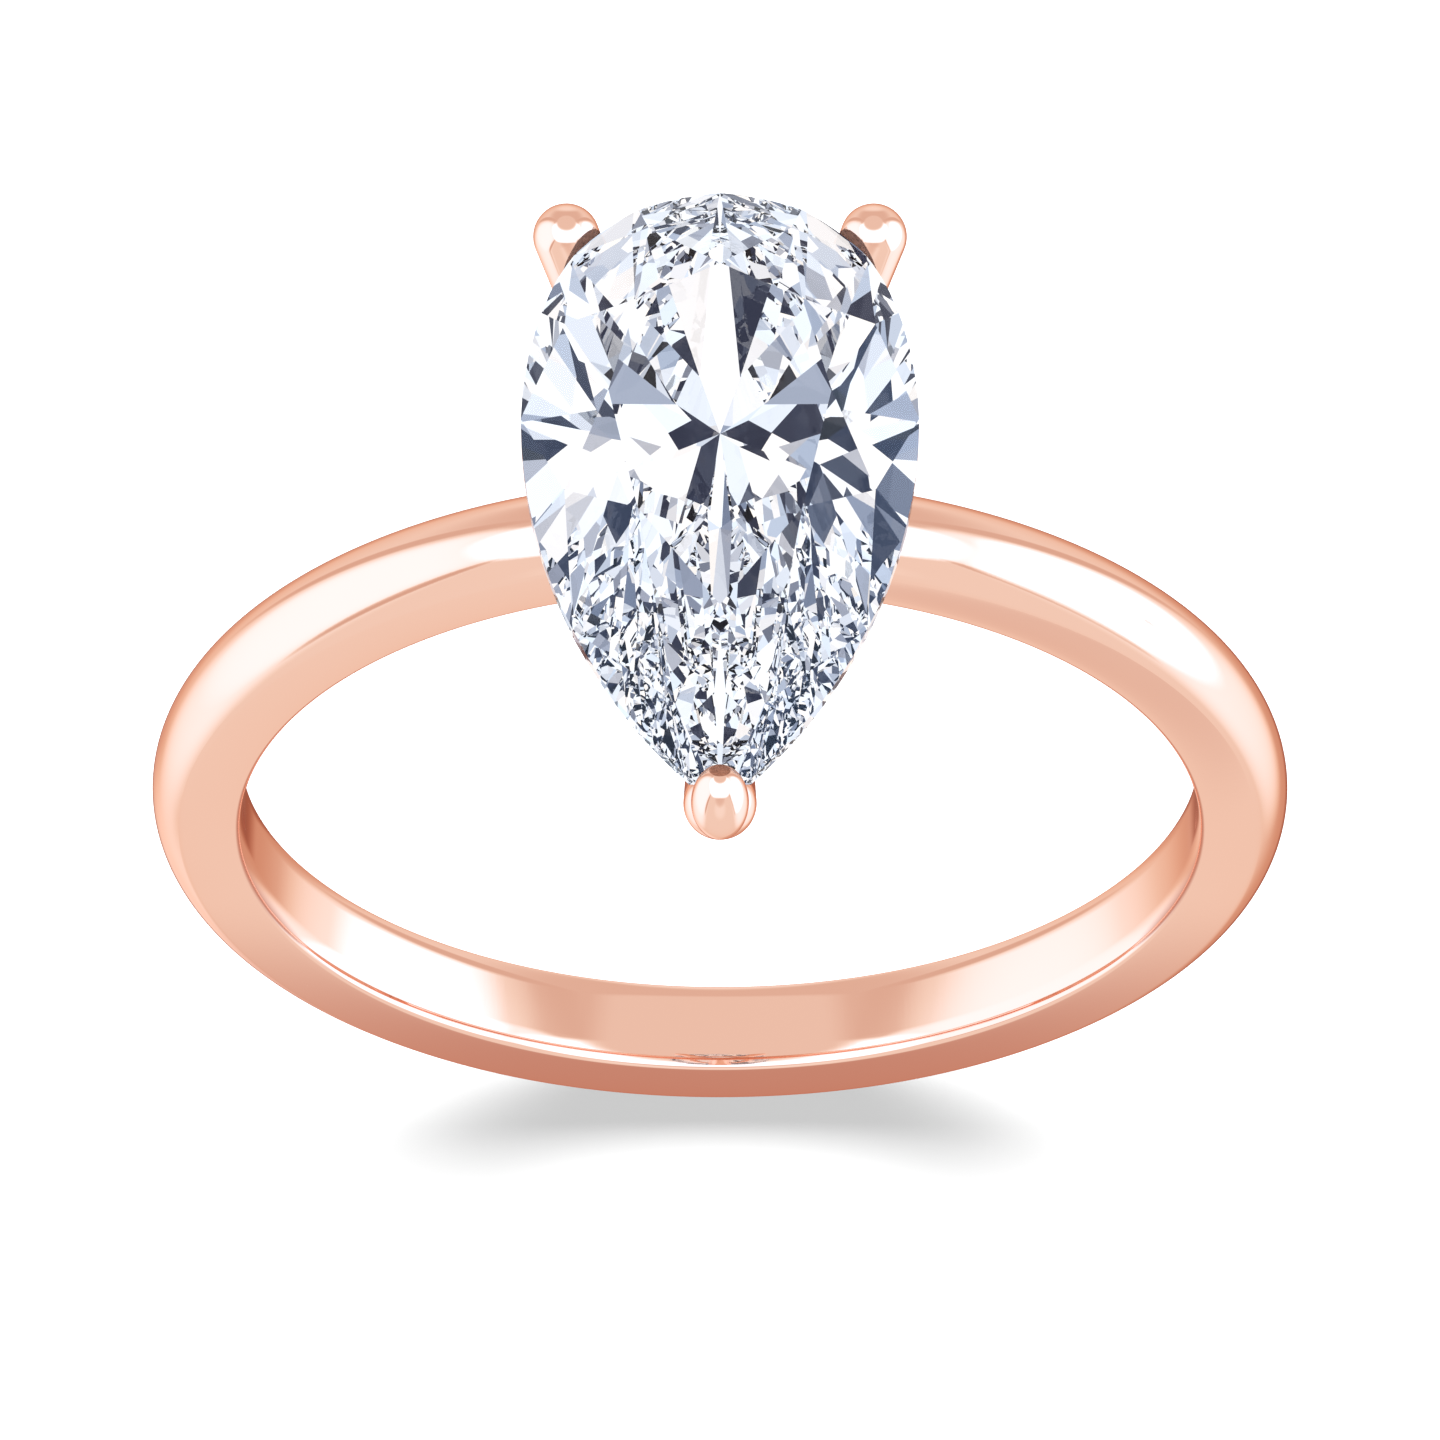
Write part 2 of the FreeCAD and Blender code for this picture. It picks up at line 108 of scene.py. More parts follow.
class HeadSizes(bpy.types.PropertyGroup):
    """Sizes of the peg, the head base and the gallery rail, in millimetres"""
    peg_radius: FloatProperty(
        name="Peg radius", description="Radius of the peg through the shank", default=0.5)
    seam: FloatProperty(
        name="Solder seam", description="Hairline round the peg inside the finger hole",
        default=0.006)
    base_length: FloatProperty(
        name="Base length", description="Head base across the ring", default=2.7)
    base_width: FloatProperty(
        name="Base width", description="Head base along the finger", default=1.7)
    base_edge: FloatProperty(
        name="Base edge", description="Softened top edge of the head base", default=0.09)
    wire_radius: FloatProperty(
        name="Rail wire", description="Radius of the gallery rail wire", default=0.3)
    rail_share: FloatProperty(
        name="Rail share", description="Rail outline as a share of the girdle outline",
        default=0.5)
    rail_tip: FloatProperty(
        name="Rail tip", description="Bend of the rail under the point", default=0.7)


class ClawSizes(bpy.types.PropertyGroup):
    """Sizes of the three claws, in millimetres and degrees"""
    dome: FloatProperty(
        name="Dome", description="Radius of a side claw's dome", default=0.6)
    foot: FloatProperty(
        name="Foot", description="Stem radius at the head base", default=0.5)
    turn: FloatProperty(
        name="Turn", description="Direction of the side claws", default=41.5)
    outset: FloatProperty(
        name="Outset", description="Dome centre outside the girdle", default=0.39)
    lift: FloatProperty(
        name="Lift", description="Dome centre above the middle of the girdle", default=0.05)
    foot_drop: FloatProperty(
        name="Foot drop", description="Stem axis below the top of the head base", default=0.5)
    foot_back: FloatProperty(
        name="Foot back", description="Foot of a side stem behind the middle", default=0.1)
    tip_radius: FloatProperty(
        name="Point stem", description="Radius of the stem at the stone's point", default=0.66)
    tip_foot_drop: FloatProperty(
        name="Point foot drop", description="Point stem axis below the top of the base",
        default=0.62)
    tip_inset: FloatProperty(
        name="Point inset", description="Round end inside the stone's point", default=0.31)
    tip_drop: FloatProperty(
        name="Point drop", description="Round end below the middle of the girdle", default=0.4)
    bead_radius: FloatProperty(
        name="Bead", description="Half width of the bead over the point", default=0.52)
    bead_reach: FloatProperty(
        name="Bead reach", description="Half length of the bead", default=0.74)
    bead_lean: FloatProperty(
        name="Bead lean", description="Lean of the bead over the stone", default=26.0)
    bead_lift: FloatProperty(
        name="Bead lift", description="Bead centre above the middle of the girdle", default=0.16)
    bead_front: FloatProperty(
        name="Bead front", description="Bead centre in front of the round end", default=0.3)
    bead_trim: FloatProperty(
        name="Bead trim", description="Share of the bead's half length left at its upper end",
        default=0.93)
    seat_gap: FloatProperty(
        name="Seat gap", description="Air between a claw's cut seat and the stone", default=0.012)


class StoneSizes(bpy.types.PropertyGroup):
    """Cut of the pear brilliant, in millimetres and shares"""
    half_width: FloatProperty(
        name="Half width", description="Half the width at the girdle", default=STONE_HIGH.x)
    setback: FloatProperty(
        name="Setback", description="Widest line in front of the shank's middle", default=0.36)
    fullness: FloatProperty(
        name="Fullness", description="Round-end radius as a share of the half width",
        default=0.922)
    crown: FloatProperty(
        name="Crown", description="Height from girdle to table", default=1.05)
    girdle: FloatProperty(
        name="Girdle", description="Thickness of the girdle", default=0.3)
    table: FloatProperty(
        name="Table", description="Table as a share of the girdle outline", default=0.56)
    star: FloatProperty(
        name="Star", description="How far down the crown the star facets reach", default=0.5)
    lower_half: FloatProperty(
        name="Lower half", description="How far down the pavilion the lower halves reach",
        default=0.78)
    shoulder_main: FloatProperty(
        name="Shoulder main", description="Direction of the shoulder main facet, degrees",
        default=37.0)
    girdle_facets: IntProperty(
        name="Girdle facets", description="Girdle facets in each quarter", default=16)


COLOUR = {"subtype": "COLOR", "size": 3, "min": 0, "max": 1}


class GoldFinish(bpy.types.PropertyGroup):
    """Look of the polished rose gold"""
    colour: FloatVectorProperty(
        name="Colour", description="Reflected colour of the alloy", **COLOUR,
        default=(0.93, 0.62, 0.49))
    warm: FloatVectorProperty(
        name="Warm tone", description="Slightly redder cloud in the alloy", **COLOUR,
        default=(0.92, 0.605, 0.475))
    # Painted shade: the seat's dark colour stands in for the shade in the notch where a claw
    # meets the stone.
    seat: FloatVectorProperty(
        name="Cut seat", description="Colour of the unpolished seat under a claw", **COLOUR,
        default=(0.72, 0.33, 0.21))
    polish: FloatProperty(
        name="Polish", description="Roughness of the polished metal", default=0.04)


class StoneFinish(bpy.types.PropertyGroup):
    """Look of the stone"""
    ior: FloatProperty(
        name="Index", description="Refractive index", default=2.417)
    tint: FloatVectorProperty(
        name="Tint", description="Body colour", **COLOUR,
        default=(0.985, 0.99, 1.0))
    glance: FloatVectorProperty(
        name="Glance", description="Tint of the light thrown back off the facets", **COLOUR,
        default=(0.13, 0.14, 0.18))


class StudioSetup(bpy.types.PropertyGroup):
    """Camera, floor and lights"""
    elevation: FloatProperty(
        name="Elevation", description="Camera height above the horizon, degrees",
        default=60.17)
    lens: FloatProperty(
        name="Lens", description="Focal length, long for a flat view", default=1700.0)
    span: FloatProperty(
        name="Span", description="Width of the view at the ring", default=26.13)
    rise: FloatProperty(
        name="Rise", description="Middle of the view above the ring's middle", default=1.264)
    sky: FloatProperty(
        name="Sky", description="Brightness of the white surroundings", default=1.0)


# ---------------------------------------------------------------- mesh helpers

def whole(bm):
    """All of a shape."""
    return bm.verts[:] + bm.edges[:] + bm.faces[:]


def turned(bm, geom, centre, axis, angle, steps):
    """Profile spun about a centre; returns the last copy so another spin can follow."""
    made = bmesh.ops.spin(
        bm, geom=geom, cent=centre, axis=axis, dvec=(0, 0, 0), angle=angle, steps=steps,
        use_duplicate=False)
    return made["geom_last"]


def full_turn(bm, axis, steps):
    """Closed lathe turn of the profile drawn so far, about an axis through the origin."""
    bmesh.ops.spin(
        bm, geom=whole(bm), cent=(0, 0, 0), axis=axis, dvec=(0, 0, 0), angle=2 * math.pi,
        steps=steps, use_merge=True, use_duplicate=False)


def drawn(bm, vert, move):
    """Straight run of a profile from a vertex; returns its new end."""
    made = bmesh.ops.extrude_vert_indiv(bm, verts=[vert])
    bmesh.ops.translate(bm, verts=made["verts"], vec=move)
    return made["verts"][0]


def verts_of(geom):
    return [part for part in geom if isinstance(part, bmesh.types.BMVert)]


def edges_of(geom):
    return [part for part in geom if isinstance(part, bmesh.types.BMEdge)]


def drawn_up(bm, height):
    """Flat shape drawn up into a block."""
    made = bmesh.ops.extrude_face_region(bm, geom=bm.faces[:])
    bmesh.ops.translate(bm, verts=verts_of(made["geom"]), vec=(0, 0, height))


def tidy(bm, distance=1e-5):
    """Doubles merged and faces turned outwards."""
    bmesh.ops.remove_doubles(bm, verts=bm.verts, dist=distance)
    bmesh.ops.recalc_face_normals(bm, faces=bm.faces)
    return bm


def softened(bm, edges, size, segments=4):
    """Edges rounded over."""
    bmesh.ops.bevel(
        bm, geom=edges, offset=size, offset_type="OFFSET", segments=segments, profile=0.5,
        affect="EDGES", clamp_overlap=True, material=-1)


def carve(bm, cutter, operation="DIFFERENCE", slot=None):
    """Shape with another shape taken away from it or joined to it."""
    holders = []
    for name, form in (("work", bm), ("cutter", cutter)):
        mesh = bpy.data.meshes.new(name)
        form.to_mesh(mesh)
        holders.append(bpy.data.objects.new(name, mesh))
        bpy.context.scene.collection.objects.link(holders[-1])
    work, tool = holders
    if slot is not None:
        for polygon in tool.data.polygons:
            polygon.material_index = slot
    cut = work.modifiers.new("cut", "BOOLEAN")
    cut.operation = operation
    cut.solver = "EXACT"
    cut.object = tool
    cut.material_mode = "INDEX"
    bpy.context.view_layer.update()
    view = bpy.context.evaluated_depsgraph_get()
    result = bpy.data.meshes.new_from_object(work.evaluated_get(view))
    bm.clear()
    bm.from_mesh(result)
    cutter.free()
    bpy.data.meshes.remove(result)
    for holder in holders:
        mesh = holder.data
        bpy.data.objects.remove(holder)
        bpy.data.meshes.remove(mesh)
    return bm


def placed(bm, name, materials):
    """Object made of a shape and these materials, put in the scene."""
    mesh = bpy.data.meshes.new(name)
    bm.to_mesh(mesh)
    bm.free()
    for material in materials:
        mesh.materials.append(material)
    thing = bpy.data.objects.new(name, mesh)
    bpy.context.scene.collection.objects.link(thing)
    return thing


def make_piece(bm, name, slot, materials, nodes, sharp=35.0, smooth=True):
    """Finished piece in the frame: scaled to metres, shaded, and riding on the ring.

    The gold doesn't show through the stone, and no piece tints the floor.
    """
    bmesh.ops.scale(bm, vec=(MM, MM, MM), verts=bm.verts)
    limit = math.radians(sharp)
    for face in bm.faces:
        face.smooth = smooth
    for edge in bm.edges:
        edge.smooth = not (edge.is_manifold and edge.calc_face_angle() > limit)
    piece = placed(bm, name, materials)
    piece.visible_transmission = slot == "stone"
    piece.visible_diffuse = False
    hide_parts(*nodes)
    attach(piece, BODY)
    return piece


# ---------------------------------------------------------------- shader helpers

class Wire:
    """A shader socket; sums written on it add Math nodes."""

    def __init__(self, finish, socket):
        self.finish = finish
        self.socket = socket

    def maths(self, operation, *others):
        return self.finish.maths(operation, self, *others)

    def __add__(self, other):
        return self.maths("ADD", other)

    __radd__ = __add__

    def __mul__(self, other):
        return self.maths("MULTIPLY", other)

    __rmul__ = __mul__

    def __sub__(self, other):
        return self.maths("SUBTRACT", other)

    def __rsub__(self, other):
        return self.finish.maths("SUBTRACT", other, self)

    def __truediv__(self, other):
        return self.maths("DIVIDE", other)

    def __rtruediv__(self, other):
        return self.finish.maths("DIVIDE", other, self)

    def __pow__(self, other):
        return self.maths("POWER", other)

    def __rpow__(self, other):
        return self.finish.maths("POWER", other, self)


class Finish:
    """Node tree of one material or of the world."""

    def __init__(self, owner):
        owner.use_nodes = True
        self.owner = owner
        self.tree = owner.node_tree
        self.tree.nodes.clear()

    def node(self, kind, settings=None, inputs=(), output=0):
        """Any node: its settings first, then the values or wires of its sockets."""
        node = self.tree.nodes.new(kind)
        for name, value in (settings or {}).items():
            if name == "stops":
                self.stops(node.color_ramp, value)
            else:
                setattr(node, name, value)
        pairs = inputs.items() if isinstance(inputs, dict) else enumerate(inputs)
        for key, value in pairs:
            if isinstance(value, Wire):
                self.tree.links.new(value.socket, node.inputs[key])
            else:
                node.inputs[key].default_value = value
        return Wire(self, node.outputs[output]) if len(node.outputs) else node

    def maths(self, operation, *values):
        return self.node("ShaderNodeMath", {"operation": operation}, values)

    def surface(self, shader):
        """Shader joined to the output of the material, which is returned."""
        self.node("ShaderNodeOutputMaterial", None, {"Surface": shader})
        return self.owner

    def stops(self, ramp, stops):
        """Positions and colours of a colour ramp."""
        ramp.elements.remove(ramp.elements[1])
        ramp.elements[0].position, ramp.elements[0].color = stops[0]
        for position, colour in stops[1:]:
            ramp.elements.new(position).color = colour

    def noise(self, scale, detail=2.0, stretch=(1, 1, 1)):
        """Clouds fixed to the piece, finer with a larger scale (per millimetre)."""
        place = self.node("ShaderNodeTexCoord", output="Object")
        place = self.node("ShaderNodeMapping", inputs={"Vector": place, "Scale": stretch})
        return self.node(
            "ShaderNodeTexNoise",
            inputs={"Vector": place, "Scale": scale / MM, "Detail": detail})


def rgba(colour):
    return (*colour, 1.0)


def gold_material(name, look):
    """Polished rose gold: faint colour clouds, polishing haze and hair-fine marks."""
    finish = Finish(bpy.data.materials.new(name))
    cloud = finish.noise(0.35, detail=3.0)
    tone = finish.node(
        "ShaderNodeMix", {"data_type": "RGBA"},
        {"Factor": cloud, 6: rgba(look.colour), 7: rgba(look.warm)}, output=2)
    haze = finish.noise(1.6, detail=4.0)
    marks = finish.noise(9.0, detail=5.0, stretch=(1.0, 0.15, 1.0))
    bump = finish.node(
        "ShaderNodeBump", None, {"Strength": 0.03, "Distance": 0.00001, "Height": marks})
    shader = finish.node(
        "ShaderNodeBsdfPrincipled", None,
        {"Base Color": tone, "Metallic": 1.0, "Specular Tint": rgba(look.colour),
         "Roughness": look.polish + (haze - 0.5) * 0.03, "Normal": bump})
    return finish.surface(shader)


def seat_shade_material(name, look):
    """Seat cut by the setter's burr, matt and speckled; its dark, flecked colour is painted shade
    for the notch where the claw meets the stone.
    """
    finish = Finish(bpy.data.materials.new(name))
    speckle = finish.noise(14.0, detail=6.0)
    # Painted shade: the colour darkens to a third in the flecks; the roughness and bumps below
    # are the burr marks.
    dark = finish.node(
        "ShaderNodeMix", {"data_type": "RGBA"},
        {"Factor": speckle, 6: rgba(look.seat), 7: rgba(Vector(look.seat) * 0.3)}, output=2)
    bump = finish.node(
        "ShaderNodeBump", None, {"Strength": 0.6, "Distance": 0.00003, "Height": speckle})
    shader = finish.node(
        "ShaderNodeBsdfPrincipled", None,
        {"Base Color": dark, "Metallic": 1.0, "Roughness": 0.4 + speckle * 0.2,
         "Normal": bump})
    return finish.surface(shader)


def stone_material(name, look):
    """Colourless stone with a high index; the faintest cloud in its body colour."""
    finish = Finish(bpy.data.materials.new(name))
    cloud = finish.noise(0.5)
    body = finish.node(
        "ShaderNodeMix", {"data_type": "RGBA"},
        {"Factor": cloud, 6: rgba(look.tint), 7: (1.0, 1.0, 1.0, 1.0)}, output=2)
    shader = finish.node(
        "ShaderNodeBsdfPrincipled", None,
        {"Base Color": body, "Roughness": 0.0, "IOR": look.ior, "Transmission Weight": 1.0,
         "Specular Tint": rgba(look.glance)})
    return finish.surface(shader)


def kept(name, maker, look):
    """Material by name, made once."""
    return bpy.data.materials.get(name) or maker(name, look)


def gold():
    return kept("rose_gold", gold_material, bpy.context.scene.ring_gold)


def seat():
    return kept("claw_seat", seat_shade_material, bpy.context.scene.ring_gold)


# ---------------------------------------------------------------- pear outline and stone

class Pear:
    """Outline of the girdle, drawn with a compass: round end, shoulders and flanks."""

    def __init__(self, sizes):
        self.half = sizes.half_width
        self.back = -sizes.setback
        self.point = self.back - STONE_LOW.y
        head = STONE_HIGH.y - self.back
        self.head = sizes.fullness * self.half
        self.rise = head - self.head
        self.shoulder = ((self.half ** 2 + self.rise ** 2 - self.head ** 2)
                         / (2 * (self.half - self.head)))
        self.flank = (self.half ** 2 + self.point ** 2) / (2 * self.half)
        self.turn = math.atan2(self.rise, self.shoulder - self.half)
        self.tip_normal = -math.asin(self.point / self.flank)

    def at(self, normal, level, share=1.0, side=1):
        """Point whose outward normal has this angle, on the right (1) or left (-1)."""
        x, y, radius = 0.0, self.rise, self.head
        if normal < self.turn:
            x, y, radius = self.half - self.shoulder, 0.0, self.shoulder
        if normal < 0:
            x, y, radius = self.half - self.flank, 0.0, self.flank
        return Vector((side * share * (x + radius * math.cos(normal)),
                       self.back + share * (y + radius * math.sin(normal)), level))


def girdle_level():
    """Height of the middle of the girdle."""
    stone = bpy.context.scene.ring_stone
    return STONE_HIGH.z - stone.crown - stone.girdle / 2


def grind(bm, point, normal):
    """Flat ground on a shape: all beyond the plane goes. Returns the face that closes it."""
    made = bmesh.ops.bisect_plane(
        bm, geom=whole(bm), dist=1e-6, plane_co=point, plane_no=normal, clear_outer=True)
    open_edges = [edge for edge in edges_of(made["geom_cut"]) if edge.is_boundary]
    if not open_edges:
        return None
    return bmesh.ops.edgeloop_fill(bm, edges=open_edges)["faces"][0]


def grind_through(bm, a, b, c, middle):
    """Facet through three points, with the middle of the stone kept."""
    normal = (b - a).cross(c - a).normalized()
    grind(bm, a, normal if normal.dot(middle - a) < 0 else -normal)


def ridge_point(first, second, level):
    """Where two facet planes, each a point and a normal, cross at a given height."""
    (p, n), (q, m) = first, second
    right_p = n.dot(p) - n.z * level
    right_q = m.dot(q) - m.z * level
    scale = n.x * m.y - n.y * m.x
    return Vector(((right_p * m.y - right_q * n.y) / scale,
                   (n.x * right_q - m.x * right_p) / scale, level))


def grind_side(bm, pear, low, apex, reach, share, stars):
    """Main, half and star facets of the crown, or main and half facets of the pavilion."""
    shoulder = math.radians(bpy.context.scene.ring_stone.shoulder_main)
    mains = [pear.tip_normal, pear.tip_normal / 2, 0.0, shoulder, QUARTER]
    halves = [(a + b) / 2 for a, b in zip(mains, mains[1:])]
    middle = Vector((0, pear.back, (low + apex) / 2))
    ends = (0, len(mains) - 1)
    for side in (1, -1):
        planes = []
        for index, angle in enumerate(mains):
            base = pear.at(angle, low, 1.0, side)
            top = pear.at(angle, apex, share, side)
            along = Vector((-side * math.sin(angle), math.cos(angle), 0))
            if index in ends:
                along = Vector((1, 0, 0))
            normal = along.cross(top - base).normalized()
            if normal.dot(middle - base) > 0:
                normal = -normal
            planes.append((base, normal))
            if side == 1 or index not in ends:
                grind(bm, base, normal)
        level = low + reach * (apex - low)
        for index, angle in enumerate(halves):
            ridge = ridge_point(planes[index], planes[index + 1], level)
            centre = pear.at(angle, low, 1.0, side)
            for main in (index, index + 1):
                corner = pear.at(mains[main], low, 1.0, side)
                grind_through(bm, corner, centre, ridge, middle)
            if stars:
                first = pear.at(mains[index], apex, share, side)
                second = pear.at(mains[index + 1], apex, share, side)
                grind_through(bm, first, second, ridge, middle)


def pear_block(low, high, grow=0.0):
    """Upright block with the girdle's outline, let out by a little where asked."""
    sizes = bpy.context.scene.ring_stone
    pear = Pear(sizes)
    count = sizes.girdle_facets
    flank = [pear.tip_normal * (1 - step / count) for step in range(count)]
    round_end = [QUARTER * step / count for step in range(count + 1)]
    right = [pear.at(angle, low) for angle in flank + round_end]
    left = [Vector((-spot.x, spot.y, spot.z)) for spot in reversed(right[1:-1])]
    bm = bmesh.new()
    bm.faces.new([bm.verts.new(spot) for spot in right + left])
    drawn_up(bm, high - low)
    bmesh.ops.recalc_face_normals(bm, faces=bm.faces)
    if grow:
        let_out(bm, pear, grow, low, 1)
    return bm


def let_out(bm, pear, grow, level, upward):
    """Shape let out all round its widest line, and stretched upward about a level."""
    stretch = Vector((1 + grow / pear.half, 1 + grow / pear.point, upward))
    middle = Vector((0, pear.back, level))
    bmesh.ops.scale(bm, vec=stretch, verts=bm.verts, space=Matrix.Translation(-middle))


def stone_form(grow=0.0):
    """Pear brilliant ground facet by facet from a pear-shaped block, in millimetres."""
    sizes = bpy.context.scene.ring_stone
    pear = Pear(sizes)
    table, culet = STONE_HIGH.z, STONE_LOW.z
    high = table - sizes.crown
    low = high - sizes.girdle
    bm = pear_block(culet, table)
    grind_side(bm, pear, high, table, sizes.star, sizes.table, True)
    grind_side(bm, pear, low, culet, sizes.lower_half, 0.0, False)
    tidy(bm, 1e-4)
    bmesh.ops.dissolve_limit(
        bm, angle_limit=math.radians(0.2), verts=bm.verts, edges=bm.edges)
    if grow:
        let_out(bm, pear, grow, (low + high) / 2, 1 + grow / sizes.crown)
    return bm


# ---------------------------------------------------------------- metal forms

def shank_form():
    """Court section turned round the finger, without the peg hole."""
    sizes = bpy.context.scene.ring_shank
    lean, roll = math.radians(sizes.side_bow), math.radians(sizes.roll)
    hole, edge, radius = sizes.finger_radius, sizes.edge, sizes.roll_radius
    high = sizes.crown_radius - sizes.crown_rise
    low = hole + radius * (1 - math.cos(roll)) + edge * (math.cos(roll) - math.sin(lean))
    tall = high - low
    half = sizes.width / 2 - tall / 2 * math.tan(lean / 2)
    bow = (half ** 2 + sizes.crown_rise ** 2) / (2 * sizes.crown_rise)
    corner = half - edge * math.cos(lean)
    # Centre across and up, angle and divisions of the crown, side, edge and roll.
    arcs = (
        (0, sizes.crown_radius - bow, math.asin(half / bow), 20),
        (half - tall / 2 / math.tan(lean), (high + low) / 2, 2 * lean, 6),
        (corner, low + edge * math.sin(lean), QUARTER - lean - roll, 8),
        (corner + (edge - radius) * math.sin(roll), hole + radius, roll, 8),
    )
    bm = bmesh.new()
    spot = bm.verts.new((0, 0, sizes.crown_radius))
    for across, level, angle, steps in arcs:
        spot = verts_of(turned(bm, [spot], (0, across, level), (1, 0, 0), -angle, steps))[0]
    drawn(bm, spot, (0, -spot.co.y, 0))
    full_turn(bm, (0, 1, 0), sizes.steps)
    bmesh.ops.mirror(
        bm, geom=whole(bm), matrix=Matrix.Identity(4), merge_dist=1e-4, axis="Y")
    tidy(bm, 1e-4)
    crease = [each for each in bm.edges if all(
        abs(math.hypot(v.co.x, v.co.z) - high) < 1e-3 and abs(abs(v.co.y) - half) < 1e-3
        for v in each.verts)]
    softened(bm, crease, sizes.shoulder, 6)
    return tidy(bm)


def rod_form(radius, low, high, segments=64):
    """Plain upright rod."""
    bm = bmesh.new()
    bmesh.ops.create_cone(
        bm, cap_ends=True, cap_tris=False, segments=segments, radius1=radius,
        radius2=radius, depth=high - low,
        matrix=Matrix.Translation((0, 0, (low + high) / 2)))
    return bm


def finger_form(radius):
    """The finger's space as a rod along the hole."""
    bm = rod_form(radius, -2, 2, bpy.context.scene.ring_shank.steps)
    bmesh.ops.rotate(
        bm, verts=bm.verts, cent=(0, 0, 0), matrix=Matrix.Rotation(QUARTER, 3, "X"))
    return bm


def base_form():
    """Round-ended block of the head base, before it is fitted to the crown."""
    sizes = bpy.context.scene.ring_head
    end = sizes.base_width / 2
    reach = sizes.base_length / 2 - end
    bm = bmesh.new()
    start = bm.verts.new((reach, -end, BASE_START))
    geom = turned(bm, [start], (reach, 0, BASE_START), (0, 0, 1), math.pi, 24)
    corner = drawn(bm, verts_of(geom)[0], (-2 * reach, 0, 0))
    geom = turned(bm, [corner], (-reach, 0, BASE_START), (0, 0, 1), math.pi, 24)
    bm.edges.new((verts_of(geom)[0], start))
    bmesh.ops.contextual_create(bm, geom=bm.edges[:])
    drawn_up(bm, BASE_HIGH.z - BASE_START)
    tidy(bm)
    rim = [each for each in bm.edges if all(
        abs(v.co.z - BASE_HIGH.z) < 1e-4 for v in each.verts)]
    softened(bm, rim, sizes.base_edge)
    return bm


def rail_form():
    """Gallery rail: a wire swept round five arcs of a small pear and a rounded tip."""
    sizes = bpy.context.scene.ring_head
    pear = Pear(bpy.context.scene.ring_stone)
    share, tip = sizes.rail_share, sizes.rail_tip
    half, rise = share * pear.half, share * pear.rise
    shoulder, flank = share * pear.shoulder, share * pear.flank
    drop = math.sqrt((flank - tip) ** 2 - (flank - half) ** 2)
    fold = math.atan2(drop, flank - half)
    level = (RAIL_LOW.z + RAIL_HIGH.z) / 2
    back = pear.back
    # Centre, angle and divisions of each arc, round from the left end of the widest line.
    runs = [
        ((shoulder - half, back, level), pear.turn, 12),
        ((0, back + rise, level), math.pi - 2 * pear.turn, 48),
        ((half - shoulder, back, level), pear.turn, 12),
        ((half - flank, back, level), fold, 32),
        ((0, back - drop, level), math.pi - 2 * fold, 24),
        ((flank - half, back, level), fold, 32),
    ]
    bm = bmesh.new()
    ring = bmesh.ops.create_circle(
        bm, cap_ends=False, segments=32, radius=sizes.wire_radius,
        matrix=Matrix.Translation((-half, back, level)) @ Matrix.Rotation(QUARTER, 4, "X"))
    geom = ring["verts"] + bm.edges[:]
    for centre, angle, steps in runs:
        geom = turned(bm, geom, centre, (0, 0, -1), angle, steps)
    return tidy(bm, 1e-3)


def side_claw_form(sign):
    """Straight tapered stem with a domed top, turned on a lathe and then leaned."""
    sizes = bpy.context.scene.ring_claws
    head = bpy.context.scene.ring_head
    pear = Pear(bpy.context.scene.ring_stone)
    turn = math.radians(sizes.turn)
    reach = pear.head + sizes.outset
    top = Vector((sign * reach * math.cos(turn),
                  reach * math.sin(turn) + pear.rise + pear.back,
                  girdle_level() + sizes.lift))
    foot = Vector((sign * (head.base_length / 2 - sizes.foot), sizes.foot_back,
                   BASE_HIGH.z - sizes.foot_drop))
    length = (top - foot).length
    rows = 12
    share = 1 / rows
    bm = bmesh.new()
    side = drawn(bm, bm.verts.new((0, 0, 0)), (sizes.foot, 0, 0))
    for row in range(rows):
        side = drawn(bm, side, ((sizes.dome - sizes.foot) * share, 0, length * share))
    turned(bm, [side], (0, 0, length), (0, 1, 0), -QUARTER, 20)
    full_turn(bm, (0, 0, 1), 96)
    tidy(bm, 1e-4)
    lean = Vector((0, 0, 1)).rotation_difference(top - foot).to_matrix().to_4x4()
    bmesh.ops.transform(bm, matrix=Matrix.Translation(foot) @ lean, verts=bm.verts)
    return bm


